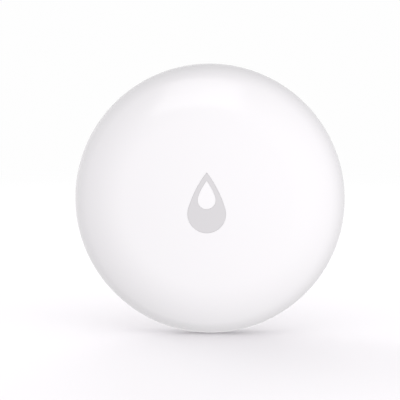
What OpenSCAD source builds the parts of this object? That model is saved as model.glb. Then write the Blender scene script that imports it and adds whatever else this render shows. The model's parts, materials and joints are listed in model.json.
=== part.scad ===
// Water leak sensor: a round, battery powered disc that lies on the floor.
// Two metal probes under it are bridged by water, and the drop in the middle
// of the face is both the button and the window of the status light.
// Millimetres. The feet stand on z = 0 and the face looks up along +Z.
// The tip of the drop points along +Y and the probes lie on the X axis.

/* [Body] */
// Widest diameter of the body
body_d = 50; // [46:0.5:60]
// Height from the feet to the top of the dome
body_h = 15; // [13.6:0.1:18]
// Radius of the gently domed face
dome_r = 101; // [75:1:160]
// Radius of the brow between the face and the shoulder
brow_r = 16; // [14:0.1:18]
// Distance of the middle of the brow from the widest line
brow_in = 12; // [11:0.1:13]
// Radius of the shoulder at the widest line
shoulder_r = 6; // [5:0.25:8]
// How far the flat underside is drawn in from the widest line
base_inset = 3; // [2:0.1:4]
// Height of the moulded feet
foot_h = 0.6; // [0.5:0.05:0.8]
// Diameter of one foot
foot_d = 2.4; // [1.6:0.1:3]
// Distance of a foot from the edge of the underside
foot_inset = 0.65; // [0.5:0.05:1.5]
// Number of feet
foot_count = 4; // [3:1:6]

/* [Shells] */
// Wall of the domed top
top_wall = 1.8; // [1.5:0.05:2.1]
// Wall of the top shell at the widest line
side_wall = 2.8; // [2.4:0.1:3.2]
// Thickness of the floor of the base
floor_t = 1.8; // [1.6:0.05:2.1]
// Height of the parting line between the shells
parting_z = 3.4; // [3:0.1:3.8]
// Height of the shadow gap along the parting line
reveal_h = 0.3; // [0.2:0.05:0.5]
// Depth of the shadow gap
reveal_depth = 0.9; // [0.5:0.1:1.2]
// Thickness of the tongue that stands up inside the top shell
tongue_t = 1.9; // [1.7:0.1:2.2]
// Height of the tongue above the parting line
tongue_h = 3.3; // [3:0.05:3.6]
// Section of the seal between the shells, as squeezed
shell_seal_d = 1; // [0.8:0.05:1.2]
// Height of the seal above the parting line
shell_seal_rise = 1.1; // [0.9:0.05:1.2]
// Number of snap beads around the tongue
snap_count = 6; // [4:1:8]
// How far a snap bead stands out of the tongue
snap_reach = 0.35; // [0.2:0.05:0.45]
// Height of a snap bead
snap_h = 0.7; // [0.5:0.05:0.8]
// Distance of a snap bead from the top of the tongue
snap_drop = 0.15; // [0.1:0.05:0.3]
// Length of a snap bead along the rim, in degrees
snap_span = 20; // [12:1:30]

/* [Battery door] */
// Turn between locked and open, in degrees
door_turn = 40; // [30:1:44]
// Wall of the spigot on the inside of the door
spigot_t = 1.6; // [1.4:0.05:1.8]
// Number of bayonet lugs on the spigot
lug_count = 3; // [2:1:3]
// Length of one lug around the spigot, in degrees
lug_span = 28; // [20:1:32]
// How far a lug stands out of the spigot
lug_reach = 1; // [0.6:0.05:1.15]
// Height of a lug
lug_h = 1.1; // [0.8:0.05:1.25]
// Thickness of the ledge that holds a lug
ledge_t = 0.7; // [0.6:0.05:0.8]
// How far the plate of the door reaches past the lugs
door_lip = 0.1; // [0.1:0.05:0.4]
// Width of the sleeve where it stands on the floor
sleeve_foot = 0.7; // [0.6:0.05:0.9]
// Thickness of the ring that guides the cell
cradle_t = 0.85; // [0.7:0.05:1]
// Length of the coin slot
slot_l = 16; // [10:0.5:20]
// Width of the coin slot
slot_w = 2.2; // [1.8:0.1:3]
// Depth of the coin slot
slot_depth = 1; // [0.6:0.05:1.15]
// Section of the seal in the edge of the door, as squeezed
door_seal_d = 0.9; // [0.7:0.05:1]
// Diameter of the small lock marks
mark_d = 0.9; // [0.6:0.1:1.2]
// Depth of the lock marks
mark_depth = 0.25; // [0.15:0.05:0.4]
// Distance of the lock marks from the edge of the door
mark_inset = 1.3; // [1:0.1:1.6]

/* [Coin cell] */
// Diameter of the cell
cell_d = 20; // [18:0.5:22]
// Thickness of the cell
cell_t = 3.2; // [2.5:0.1:3.6]
// Diameter of the raised cap
cell_cap_d = 17.2; // [16:0.2:18]
// Step from the rim of the can up to the cap
cell_step = 0.25; // [0.15:0.05:0.4]
// Thickness of the sheet of the contact springs
contact_t = 0.25; // [0.2:0.05:0.3]
// Width of the spring on the cap
cap_spring_w = 4; // [3:0.5:6]
// Length of the spring on the cap, from its foot to its middle
cap_spring_l = 8; // [7:0.5:9]
// Width of the spring on the rim
rim_spring_w = 6; // [4:0.5:7]
// How far the spring on the rim leans out toward the board
rim_spring_lean = 0.6; // [0.4:0.05:0.8]
// Length of the soldered foot of a spring
spring_foot = 3; // [2:0.1:3.4]
// Length of the touching flat and of the free tail of a spring
spring_tail = 2; // [1.6:0.1:2.4]
// Rise of the free tail of a spring
tail_rise = 0.5; // [0.3:0.05:0.55]

/* [Circuit board] */
// Thickness of the board
board_t = 1; // [0.8:0.05:1.15]
// Room between the cell and the board
contact_room = 1.4; // [1.3:0.05:1.6]
// Number of board screws
screw_count = 3; // [2:1:3]
// Shank diameter of a board screw
screw_d = 1.9; // [1.6:0.1:2.2]
// Head diameter of a board screw
screw_head_d = 3.6; // [3:0.1:4]
// Head height of a board screw
screw_head_h = 1.1; // [0.8:0.1:1.3]
// Shank length of a board screw
screw_l = 4.6; // [3.5:0.1:5.2]
// Spare depth of the hole below a board screw
screw_spare = 0.4; // [0.2:0.05:0.6]
// Diameter of a screw boss
boss_d = 4.4; // [4:0.1:5]
// Side of the radio chip
chip_w = 6; // [4:0.5:7]
// Height of the radio chip
chip_h = 0.85; // [0.6:0.05:1]
// Distance of the radio chip from the middle, across and down the board
chip_off = 7.4; // [6.8:0.1:8]
// Length of the crystal
crystal_l = 3.2; // [2.5:0.1:3.6]
// Width of the crystal
crystal_w = 2.5; // [2:0.1:2.8]
// Height of the crystal
crystal_h = 0.7; // [0.5:0.05:0.9]
// Length of the status light
led_l = 2; // [1.6:0.1:2.4]
// Width of the status light
led_w = 1.25; // [0.8:0.05:1.4]
// Height of the status light
led_h = 0.7; // [0.4:0.05:0.8]
// Length of a small resistor or capacitor
passive_l = 1; // [0.6:0.1:1.2]
// Width of a small resistor or capacitor
passive_w = 0.5; // [0.3:0.05:0.6]
// Height of a small resistor or capacitor
passive_h = 0.45; // [0.3:0.05:0.6]
// Room between neighbours on the board
part_gap = 1; // [0.8:0.05:1.2]
// Width of the antenna track
track_w = 0.7; // [0.5:0.05:1]
// Thickness of the antenna track
track_t = 0.1; // [0.05:0.01:0.15]
// Length of the two legs of the antenna
track_leg = 5; // [3:0.5:6]
// Length of the antenna along the edge of the board
track_l = 20.6; // [14:0.1:22]

/* [Button] */
// Width of the drop
drop_w = 7; // [6.2:0.1:7.8]
// Radius of the bowed sides of the drop
drop_side_r = 20; // [17:0.5:24]
// Width of the light window
window_w = 3.3; // [2.8:0.1:3.7]
// Radius of the bowed sides of the light window
window_side_r = 9; // [8:0.5:11]
// How far the window sits above the middle of the round end
window_rise = 2.55; // [2.3:0.05:2.8]
// Travel of the button
button_travel = 0.25; // [0.2:0.05:0.35]
// Thickness of the flange around the button
flange_t = 0.8; // [0.6:0.05:0.9]
// Width of the flange around the button
flange_reach = 1; // [0.6:0.1:1.2]
// Thickness of the pad that the flange rests against
seat_pad = 0.4; // [0.35:0.05:0.45]
// Wall of the collar around the button
collar_t = 1.2; // [0.8:0.1:1.6]
// Thickness of the sealing membrane
membrane_t = 0.5; // [0.4:0.05:0.6]
// Diameter of the boss of the membrane under the button
pusher_d = 3.3; // [2.8:0.1:3.8]
// Diameter of the nose of the membrane on the switch
nose_d = 2.3; // [1.8:0.1:2.6]

/* [Switch] */
// Side of the switch body
switch_w = 4.6; // [4.2:0.1:5.2]
// Height of the switch body
switch_h = 0.8; // [0.75:0.05:1]
// Distance of the switch from the middle, toward the round end
switch_y = 1.6; // [1:0.1:2]
// Floor of the switch body under the snap dome
switch_floor = 0.2; // [0.15:0.01:0.22]
// Thickness of the metal cover of the switch
cover_t = 0.15; // [0.1:0.05:0.2]
// Thickness of the snap dome
snap_dome_t = 0.08; // [0.06:0.01:0.1]
// Diameter of the plunger
plunger_d = 1.7; // [1.4:0.1:2]
// Width of the collar of the plunger
plunger_collar = 0.45; // [0.3:0.05:0.5]
// How far the plunger stands out of the cover
plunger_proud = 0.2; // [0.1:0.05:0.3]

/* [Probes] */
// Head diameter of a probe screw
probe_head_d = 4.4; // [3.9:0.1:4.8]
// Height of the head of a probe screw
probe_head_h = 0.9; // [0.8:0.05:1]
// How far a probe head stands out of the underside
probe_proud = 0.4; // [0.3:0.05:0.45]
// Shank diameter of a probe screw
probe_d = 2.5; // [2:0.1:2.8]
// Shank length of a probe screw
probe_l = 5; // [4.5:0.1:5.5]
// Width of the cross recess in a probe head
recess_w = 0.5; // [0.4:0.05:0.6]
// Section of the seal under a probe head, as squeezed
probe_seal_d = 0.7; // [0.6:0.05:0.8]
// Wall between the pocket of a probe and the door
probe_rib = 0.6; // [0.5:0.05:0.8]
// Diameter of a brass standoff
standoff_d = 4; // [3.6:0.1:4.4]
// Diameter of the neck soldered into the board
standoff_neck_d = 2.6; // [2.2:0.1:2.8]
// Height of the solder neck above the board
neck_proud = 0.2; // [0.1:0.05:0.3]
// Wall of the ring that holds the foot of a standoff
locator_t = 0.65; // [0.5:0.05:0.75]
// Height of that ring
locator_h = 1; // [0.6:0.1:1.4]

/* [Clearances] */
// Gap around the door in its opening
door_gap = 0.15; // [0.1:0.05:0.2]
// Gap around the lugs and above and below them
lug_gap = 0.1; // [0.08:0.01:0.15]
// Gap between the spigot and the sleeve
sleeve_gap = 0.15; // [0.1:0.05:0.25]
// Gap between the tongue and the top shell
tongue_gap = 0.1; // [0.05:0.05:0.15]
// Play of a seal along its groove
groove_gap = 0.1; // [0.05:0.05:0.2]
// Gap between the board and the tongue
board_gap = 0.15; // [0.1:0.05:0.3]
// Gap between a screw boss and the sleeve
boss_gap = 0.3; // [0.2:0.05:0.6]
// Gap around the drop in its opening
key_gap = 0.1; // [0.08:0.01:0.15]
// Room under the flange when the button is pressed
travel_gap = 0.25; // [0.2:0.05:0.3]
// Gap between the flange and the collar
collar_gap = 0.75; // [0.6:0.05:1]
// Gap between pieces that slide or press on one another
slide_gap = 0.05; // [0.03:0.01:0.06]
// Gap around the cell in the spigot
cell_gap = 0.3; // [0.2:0.05:0.4]
// Play of the cell on the door
cell_play = 0.1; // [0.05:0.05:0.15]
// Gap around a probe head in its pocket
pocket_gap = 0.2; // [0.15:0.05:0.3]
// Play of a shank or a neck in its hole
hole_gap = 0.05; // [0.04:0.01:0.08]
// Film between a squeezed seal or a tight thread and its seat
film = 0.02; // [0.01:0.01:0.03]
// Chamfer on moulded edges
edge = 0.25; // [0.15:0.05:0.3]

/* [Hidden] */
$fn = 96;

// Overlap that joins one piece's own volumes, and overrun of its cuts
join = 0.2;
// Direction in which the round end of a drop passes into its sides
drop_turn = [0.96, 0.28];
// Angle between a lug and the end of its slot
lug_slack = 2;
// Angle from the first board screw to the antenna
track_start = 14;

// Outline of the body
body_r = body_d / 2;
base_r = body_r - base_inset;
brow_x = body_r - brow_in;
shoulder_x = body_r - shoulder_r;
dome_z = body_h - dome_r;
brow_z = dome_z + sqrt(pow(dome_r - brow_r, 2) - pow(brow_x, 2));
equator_z = brow_z + sqrt(pow(brow_r - shoulder_r, 2) - pow(shoulder_x - brow_x, 2));
face_lean = atan2(brow_x, brow_z - dome_z);
brow_lean = atan2(shoulder_x - brow_x, equator_z - brow_z);
belly_h = equator_z - foot_h;
belly_r = (base_inset * base_inset + belly_h * belly_h) / (2 * base_inset);
reach = body_d;

// Shells
floor_z = foot_h + floor_t;
mouth_r = body_r - side_wall;
tongue_r = mouth_r - tongue_gap;
tongue_in_r = tongue_r - tongue_t;
tongue_top = parting_z + tongue_h;
rim_r = body_r - belly_r + sqrt(pow(belly_r, 2) - pow(equator_z - parting_z, 2));
seal_floor_r = mouth_r - shell_seal_d;
seal_half_h = shell_seal_d / 2 + groove_gap;
seal_z = parting_z + shell_seal_rise;
snap_z = tongue_top - snap_drop - snap_h;
foot_ring_r = base_r - foot_inset - foot_d / 2;

// Door and bayonet, from the cell outward
cell_r = cell_d / 2;
spigot_in_r = cell_r + cell_gap;
spigot_r = spigot_in_r + spigot_t;
sleeve_in_r = spigot_r + sleeve_gap;
lug_r = spigot_r + lug_reach;
lug_slot_r = lug_r + lug_gap;
door_r = lug_r + door_lip;
door_hole_r = door_r + door_gap;
sleeve_r = door_hole_r + sleeve_foot;
door_top = floor_z - slide_gap;
lug_slot_z = floor_z + ledge_t;
lug_z = lug_slot_z + lug_gap;
spigot_top = lug_z + lug_h;
lug_slot_top = spigot_top + lug_gap;
cradle_z = lug_slot_top + slide_gap;
cradle_top = cradle_z + cradle_t;
door_groove_r = door_hole_r - door_seal_d;
door_groove_half_h = door_seal_d / 2 + groove_gap / 2;
door_seal_z = (foot_h + edge + door_top) / 2;

// Cell, board and what stands on it
cell_z = door_top + cell_play;
cell_top = cell_z + cell_t;
board_z = cell_top + contact_room;
board_top = board_z + board_t;
board_r = tongue_in_r - board_gap;
screw_ring_r = sleeve_r + boss_gap + boss_d / 2;
screw_angles = [for (i = [0 : screw_count - 1]) 90 + 360 * i / screw_count];
chip_edge = chip_off - chip_w / 2;
passive_pitch = passive_l + part_gap;

// Button, from the dome down to the switch
seat_z = body_h - top_wall - seat_pad;
flange_top = seat_z - slide_gap;
flange_z = flange_top - flange_t;
web_top = flange_z - button_travel - travel_gap;
web_z = web_top - membrane_t;
drop_far = drop_side_r - drop_w / 2;
drop_tip = sqrt(pow(drop_side_r, 2) - pow(drop_far * drop_turn[0], 2)) - drop_far * drop_turn[1];
drop_y = (drop_w / 2 - drop_tip) / 2;
window_y = drop_y + window_rise;
collar_in_r = (drop_w / 2 + drop_tip) / 2 + 2 * flange_reach + collar_gap;
collar_r = collar_in_r + collar_t;
cover_z = board_top + switch_h;
plunger_top = cover_z + cover_t + plunger_proud;
well_z = board_top + switch_floor;
plunger_collar_r = plunger_d / 2 + plunger_collar;
well_r = plunger_collar_r + 4 * hole_gap;
plunger_z = well_z + button_travel + slide_gap;

// Probes, outward from the door
probe_z = foot_h - probe_proud;
probe_head_top = probe_z + probe_head_h;
probe_pocket_z = probe_head_top + probe_seal_d;
probe_pocket_r = probe_head_d / 2 + pocket_gap;
probe_x = door_hole_r + probe_rib + probe_pocket_r;
probe_hole_r = probe_d / 2 + 2 * hole_gap;
standoff_r = standoff_d / 2;

// Half section of the pebble shaped body, or the same pulled in by an inset
module pebble_section(inset = 0, low = foot_h) {
    face_x = brow_x + (equator_z - brow_z) * tan(face_lean);
    face_ray = [brow_x + reach * sin(face_lean), brow_z + reach * cos(face_lean)];
    brow_ray = [brow_x + reach * sin(brow_lean), brow_z + reach * cos(brow_lean)];
    // domed face
    intersection() {
        translate([0, dome_z]) circle(r = dome_r - inset, $fn = 360);
        polygon([[0, equator_z], [face_x, equator_z], face_ray, [0, face_ray[1]]]);
    }
    // brow
    intersection() {
        translate([brow_x, brow_z]) circle(r = brow_r - inset);
        polygon([[face_x, equator_z], [shoulder_x, equator_z], brow_ray, face_ray]);
    }
    // shoulder
    intersection() {
        translate([shoulder_x, equator_z]) circle(r = shoulder_r - inset);
        polygon([[shoulder_x, equator_z], [2 * reach, equator_z],
                 [2 * reach, brow_ray[1]], brow_ray]);
    }
    // belly
    intersection() {
        translate([body_r - belly_r, equator_z]) circle(r = belly_r - inset);
        polygon([[body_r - belly_r, low], [reach, low],
                 [reach, equator_z], [body_r - belly_r, equator_z]]);
    }
    // core
    polygon([[0, low], [body_r - belly_r, low],
             [body_r - belly_r, equator_z], [0, equator_z]]);
}

// Upright rectangle of a half section
module band(r_in, r_out, z_low, z_high) {
    polygon([[r_in, z_low], [r_out, z_low], [r_out, z_high], [r_in, z_high]]);
}

// Part of a ring between two angles
module ring_part(r_in, r_out, z_low, z_high, from, span) {
    rotate([0, 0, from])
        rotate_extrude(angle = span)
            band(r_in, r_out, z_low, z_high);
}

// Drop outline about the middle of its round end, tip along +Y
module drop_outline(width, side_r, grow = 0) {
    r = width / 2;
    far = side_r - r;
    circle(r = r + grow);
    intersection() {
        translate([-far * drop_turn[0], -far * drop_turn[1]]) circle(r = side_r + grow);
        translate([far * drop_turn[0], -far * drop_turn[1]]) circle(r = side_r + grow);
        translate([-side_r, (r + grow) * drop_turn[1]]) square([2 * side_r, 2 * side_r]);
    }
}

// Prism of the drop in its place on the face
module drop_prism(z_low, z_high, grow = 0) {
    translate([0, drop_y, z_low])
        linear_extrude(z_high - z_low)
            drop_outline(drop_w, drop_side_r, grow);
}

// Prism of the light window in its place on the face
module window_prism(z_low, z_high, grow = 0) {
    translate([0, window_y, z_low])
        linear_extrude(z_high - z_low)
            drop_outline(window_w, window_side_r, grow);
}

// Ring of round section lying flat
module o_ring(r, section_d, z) {
    translate([0, 0, z])
        rotate_extrude()
            translate([r, 0])
                circle(d = section_d);
}

// Box standing on the board, given by its middle and its sides
module on_board(x, y, w, d, h, turn = 0) {
    translate([x, y, board_top])
        rotate([0, 0, turn])
            translate([-w / 2, -d / 2, 0])
                cube([w, d, h]);
}

// Children repeated at both probes
module at_probes() {
    for (side = [-1, 1])
        translate([side * probe_x, 0, 0])
            children();
}

// Children repeated at the board screws
module at_screws() {
    for (a = screw_angles)
        rotate([0, 0, a])
            translate([screw_ring_r, 0, 0])
                children();
}

// Domed top shell with the drop opening and the collar for the membrane
module top_shell() {
    color("white")
    difference() {
        union() {
            rotate_extrude()
                difference() {
                    intersection() {
                        pebble_section();
                        band(0, reach, parting_z, body_h + reach);
                    }
                    // hollow, with room for the tongue of the base
                    intersection() {
                        union() {
                            pebble_section(top_wall, foot_h);
                            band(tongue_in_r - tongue_gap, mouth_r + join,
                                 parting_z - join, tongue_top + tongue_gap);
                        }
                        band(0, mouth_r, 0, body_h);
                    }
                    band(mouth_r - join, mouth_r + snap_reach + tongue_gap,
                         snap_z - slide_gap, snap_z + snap_h + slide_gap);
                }
            rotate_extrude()
                difference() {
                    band(0, collar_r, web_top, body_h - top_wall + join);
                    band(0, collar_in_r, web_top - join, seat_z);
                }
        }
        drop_prism(seat_z - join, body_h + join, key_gap);
    }
}

// Base with floor, sealed tongue, cell cradle, bosses and feet
module base_shell() {
    color("white")
    difference() {
        union() {
            rotate_extrude()
                base_section();
            base_feet();
            base_bosses();
            base_snaps();
        }
        door_ways();
        probe_ways();
        at_screws()
            translate([0, 0, board_top - screw_l - screw_spare])
                cylinder(d = screw_d + 2 * film, h = screw_l + screw_spare);
        // room for the spring on the rim of the cell
        translate([-rim_spring_w / 2 - cell_gap, -sleeve_r - join, cradle_z])
            cube([rim_spring_w + 2 * cell_gap, sleeve_r, board_z]);
        // lock marks: closed, then open
        for (a = [-90, -90 - door_turn])
            rotate([0, 0, a])
                translate([door_hole_r + mark_inset, 0, foot_h - join])
                    cylinder(d = mark_d, h = mark_depth + join);
    }
}

module base_section() {
    // dish with its floor, ledge and shadow gap
    difference() {
        intersection() {
            pebble_section();
            band(0, reach, 0, parting_z);
        }
        band(0, tongue_in_r, floor_z, parting_z + join);
        band(rim_r - reveal_depth, reach, parting_z - reveal_h, parting_z + join);
        band(0, door_hole_r, 0, floor_z + join);
        polygon([[0, foot_h - join], [door_hole_r + edge + join, foot_h - join],
                 [door_hole_r - join, foot_h + edge + join], [0, foot_h + edge]]);
    }
    // tongue with its seal groove
    difference() {
        band(tongue_in_r, tongue_r, floor_z - join, tongue_top);
        band(seal_floor_r, tongue_r + join,
             seal_z - seal_half_h, seal_z + seal_half_h);
    }
    // sleeve around the spigot, and the ring that guides the cell
    band(sleeve_in_r, sleeve_r, floor_z, cradle_top);
    band(door_hole_r, sleeve_r, floor_z - join, cradle_top);
    band(spigot_in_r, sleeve_r, cradle_z, cradle_top);
}

module base_feet() {
    for (i = [0 : foot_count - 1])
        rotate([0, 0, 360 * (i + 0.5) / foot_count])
            translate([foot_ring_r, 0, 0]) {
                cylinder(d1 = foot_d - 2 * edge, d2 = foot_d, h = edge);
                translate([0, 0, edge])
                    cylinder(d = foot_d, h = foot_h + join - edge);
            }
}

module base_bosses() {
    at_screws()
        translate([0, 0, floor_z - join])
            cylinder(d = boss_d, h = board_z - floor_z + join);
    at_probes()
        translate([0, 0, floor_z - join])
            cylinder(r = standoff_r + locator_t, h = locator_h + join);
}

module base_snaps() {
    for (i = [0 : snap_count - 1])
        rotate([0, 0, 360 * i / snap_count + 360 / snap_count / 2 - snap_span / 2])
            rotate_extrude(angle = snap_span)
                polygon([[tongue_r - join, snap_z], [tongue_r, snap_z],
                         [tongue_r + snap_reach, snap_z + snap_h * 0.3],
                         [tongue_r + snap_reach, snap_z + snap_h * 0.5],
                         [tongue_r, snap_z + snap_h], [tongue_r - join, snap_z + snap_h]]);
}

// Slots of the bayonet: in through the floor, then round under the ledge
module door_ways() {
    open = lug_span + 2 * lug_slack;
    for (i = [0 : lug_count - 1]) {
        lug = 90 + 360 * i / lug_count;
        ring_part(sleeve_in_r - join, lug_slot_r, lug_slot_z, lug_slot_top,
                  lug - door_turn - open / 2, door_turn + open);
        ring_part(sleeve_in_r - join, lug_slot_r, floor_z - join, lug_slot_top,
                  lug - door_turn - open / 2, open);
    }
}

module probe_ways() {
    at_probes() {
        translate([0, 0, foot_h - join])
            cylinder(r = probe_pocket_r, h = probe_pocket_z - foot_h + join);
        cylinder(r = probe_hole_r, h = floor_z + join);
        translate([0, 0, floor_z])
            cylinder(r = standoff_r + hole_gap, h = board_z);
    }
}

// Soft ring between the tongue and the top shell
module shell_seal() {
    color("dimgray")
    o_ring((seal_floor_r + mouth_r) / 2, shell_seal_d - 2 * film, seal_z);
}

// Round battery door with coin slot, seal groove, spigot and lugs
module battery_door() {
    color("white")
    difference() {
        union() {
            rotate_extrude() {
                difference() {
                    polygon([[0, foot_h], [door_r - edge, foot_h], [door_r, foot_h + edge],
                             [door_r, door_top], [0, door_top]]);
                    band(door_groove_r, door_r + join,
                         door_seal_z - door_groove_half_h, door_seal_z + door_groove_half_h);
                }
                band(spigot_in_r, spigot_r, door_top - join, spigot_top);
            }
            for (i = [0 : lug_count - 1])
                ring_part(spigot_r - join, lug_r, lug_z, spigot_top,
                          90 + 360 * i / lug_count - lug_span / 2, lug_span);
        }
        // coin slot
        translate([0, 0, foot_h - join])
            linear_extrude(slot_depth + join) {
                translate([-slot_l / 2 + slot_w / 2, -slot_w / 2])
                    square([slot_l - slot_w, slot_w]);
                for (side = [-1, 1])
                    translate([side * (slot_l - slot_w) / 2, 0])
                        circle(d = slot_w);
            }
        // lock mark
        translate([0, mark_inset - door_r, foot_h - join])
            cylinder(d = mark_d, h = mark_depth + join);
    }
}

// Soft ring in the edge of the door
module door_seal() {
    color("dimgray")
    o_ring((door_groove_r + door_hole_r) / 2, door_seal_d - 2 * film, door_seal_z);
}

// Ball that carries on the domed face
module dome_ball() {
    translate([0, 0, dome_z])
        rotate([90, 0, 90])
            sphere(r = dome_r, $fn = 360);
}

// Drop shaped key, its top flush with the dome
module drop_button() {
    color("gainsboro")
    difference() {
        union() {
            drop_prism(flange_z, flange_top, flange_reach);
            intersection() {
                drop_prism(flange_z, body_h + join);
                dome_ball();
            }
        }
        window_prism(flange_z - join, body_h + join, hole_gap);
    }
}

// Light window let into the key
module drop_window() {
    color("white")
    intersection() {
        window_prism(flange_z, body_h + join);
        dome_ball();
    }
}

// Soft disc that seals the button and carries the push to the switch
module button_membrane() {
    color("lightgray")
    union() {
        translate([0, 0, web_z])
            cylinder(r = collar_r, h = membrane_t);
        translate([0, -switch_y, web_z])
            cylinder(d = pusher_d, h = flange_z - web_z);
        translate([0, -switch_y, plunger_top])
            cylinder(d = nose_d, h = web_z - plunger_top + join);
    }
}

// Base of the tactile switch with the well for its snap dome
module switch_body() {
    color("darkslategray")
    difference() {
        on_board(0, -switch_y, switch_w, switch_w, switch_h);
        translate([0, -switch_y, well_z])
            cylinder(r = well_r, h = switch_h);
    }
}

// Metal cover of the switch
module switch_cover() {
    color("silver")
    translate([0, -switch_y, cover_z])
        difference() {
            translate([-switch_w / 2, -switch_w / 2, 0])
                cube([switch_w, switch_w, cover_t]);
            translate([0, 0, -join])
                cylinder(d = plunger_d + 4 * hole_gap, h = cover_t + 2 * join);
        }
}

// Plunger, held under the cover by its collar
module switch_plunger() {
    color("dimgray")
    translate([0, -switch_y, 0])
        rotate_extrude() {
            band(0, plunger_d / 2, plunger_z, plunger_top - slide_gap);
            band(0, plunger_collar_r, plunger_z, cover_z - slide_gap);
        }
}

// Snap dome in the well of the switch
module snap_dome() {
    cap_r = well_r - 2 * hole_gap;
    rise = button_travel;
    ball_r = (cap_r * cap_r + rise * rise) / (2 * rise);
    color("silver")
    translate([0, -switch_y, well_z])
        rotate_extrude()
            intersection() {
                translate([0, rise - ball_r])
                    difference() {
                        circle(r = ball_r);
                        circle(r = ball_r - snap_dome_t);
                    }
                band(0, cap_r, 0, 2 * rise);
            }
}

// Round circuit board
module main_board() {
    color("darkgreen")
    difference() {
        translate([0, 0, board_z])
            cylinder(r = board_r, h = board_t);
        at_screws()
            translate([0, 0, board_z - join])
                cylinder(d = screw_d + 2 * hole_gap, h = board_t + 2 * join);
        at_probes()
            translate([0, 0, board_z - join])
                cylinder(d = standoff_neck_d + 2 * hole_gap, h = board_t + 2 * join);
    }
}

// Screws that hold the board on the bosses of the base
module board_screws() {
    color("silver")
    at_screws()
        rotate_extrude() {
            band(0, screw_d / 2, board_top - screw_l, board_top + join);
            difference() {
                polygon([[0, board_top], [screw_head_d / 2, board_top],
                         [screw_head_d / 2, board_top + screw_head_h - edge],
                         [screw_head_d / 2 - edge, board_top + screw_head_h],
                         [0, board_top + screw_head_h]]);
                band(0, screw_d / 4, board_top + screw_head_h / 2, board_top + 2 * screw_head_h);
            }
        }
}

// Radio and control chip
module radio_chip() {
    color("black")
    on_board(chip_off, -chip_off, chip_w, chip_w, chip_h);
}

// Clock crystal beside the chip
module crystal() {
    color("silver")
    on_board(chip_edge - part_gap - crystal_l / 2, -chip_off, crystal_l, crystal_w, crystal_h);
}

// Status light under the window of the drop
module status_led() {
    color("ivory")
    on_board(0, switch_w / 2 - switch_y + part_gap + led_w / 2, led_l, led_w, led_h);
}

// Small resistors and capacitors
module board_passives() {
    color("tan")
    union() {
        // a row above the chip, and one below it
        for (i = [0 : 3], y = [-chip_edge + part_gap, -chip_off - chip_w / 2 - part_gap])
            on_board(chip_edge + passive_pitch * i, y, passive_w, passive_l, passive_h);
        // a column on the other side of the board
        for (i = [-2 : 2])
            on_board(-chip_off, passive_pitch * i, passive_l, passive_w, passive_h);
    }
}

// Copper antenna along the edge of the board, with its feed and its short
module antenna_track() {
    track_r = board_r - track_w / 2;
    first = screw_angles[0] + track_start;
    span = track_l / track_r * 180 / PI;
    color("peru")
    union() {
        ring_part(track_r - track_w, track_r, board_top, board_top + track_t, first, span);
        for (a = [first, first + span / 5])
            rotate([0, 0, a])
                translate([track_r - track_leg, 0, board_top])
                    cube([track_leg - track_w / 2, track_w, track_t]);
    }
}

// Coin cell, cap up
module coin_cell() {
    rim_z = cell_t - cell_step;
    cap_r = cell_cap_d / 2;
    // the bend of the can and the groove beside the cap share the rim
    bend = (cell_r - cap_r) / 4;
    color("silver")
    translate([0, 0, cell_z])
        rotate_extrude()
            polygon([[0, 0], [cell_r - bend, 0], [cell_r, bend],
                     [cell_r, rim_z - bend], [cell_r - bend, rim_z],
                     [cap_r + bend, rim_z], [cap_r + bend, rim_z - bend],
                     [cap_r, rim_z - bend], [cap_r, cell_t], [0, cell_t]]);
}

// Spring under the board that presses on the cap of the cell
module cap_contact() {
    low = cell_top + film;
    foot_x = spring_foot - cap_spring_l;
    flat_x = spring_tail / 2;
    tail_x = flat_x + spring_tail;
    color("gold")
    translate([0, cap_spring_w / 2, 0])
        rotate([90, 0, 0])
            linear_extrude(cap_spring_w)
                polygon([[-cap_spring_l, board_z], [-cap_spring_l, board_z - contact_t],
                         [foot_x, board_z - contact_t], [-flat_x, low], [flat_x, low],
                         [tail_x, low + tail_rise], [tail_x, low + tail_rise + contact_t],
                         [flat_x, low + contact_t], [-flat_x, low + contact_t],
                         [foot_x, board_z]]);
}

// Spring under the board that presses on the rim of the cell
module rim_contact() {
    touch = cell_r + film;
    low = cradle_z + slide_gap;
    touch_z = (low + cell_top - cell_step) / 2;
    top_x = touch + rim_spring_lean;
    foot_x = top_x + spring_foot;
    tail_x = touch + rim_spring_lean / 2;
    color("gold")
    rotate([0, 0, -90])
        translate([0, rim_spring_w / 2, 0])
            rotate([90, 0, 0])
                linear_extrude(rim_spring_w)
                    polygon([[foot_x, board_z], [top_x, board_z],
                             [touch, touch_z], [tail_x, low],
                             [tail_x + contact_t, low], [touch + contact_t, touch_z],
                             [top_x + contact_t, board_z - contact_t],
                             [foot_x, board_z - contact_t]]);
}

// The two metal probes: sealed screws through the floor of the base
module probe_screws() {
    color("silver")
    at_probes()
        difference() {
            rotate_extrude() {
                polygon([[0, probe_z], [probe_head_d / 2 - 2 * edge, probe_z],
                         [probe_head_d / 2, probe_z + 2 * edge],
                         [probe_head_d / 2, probe_head_top], [0, probe_head_top]]);
                band(0, probe_d / 2, probe_head_top - join, probe_head_top + probe_l);
            }
            // cross recess
            for (a = [0, 90])
                rotate([0, 0, a])
                    translate([-probe_d / 2, -recess_w / 2, probe_z - join])
                        cube([probe_d, recess_w, probe_head_h / 2 + join]);
        }
}

// Soft rings under the heads of the probes
module probe_seals() {
    color("dimgray")
    at_probes()
        o_ring((probe_d + probe_seal_d) / 2 + film, probe_seal_d - 2 * film,
               probe_head_top + probe_seal_d / 2);
}

// Brass standoffs that carry the probes up to the board
module probe_standoffs() {
    color("goldenrod")
    at_probes()
        rotate_extrude()
            difference() {
                union() {
                    band(0, standoff_r, floor_z, board_z);
                    band(0, standoff_neck_d / 2, board_z - join, board_top + neck_proud);
                }
                band(0, probe_d / 2 + film, floor_z - join, probe_head_top + probe_l + pocket_gap);
            }
}

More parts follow.
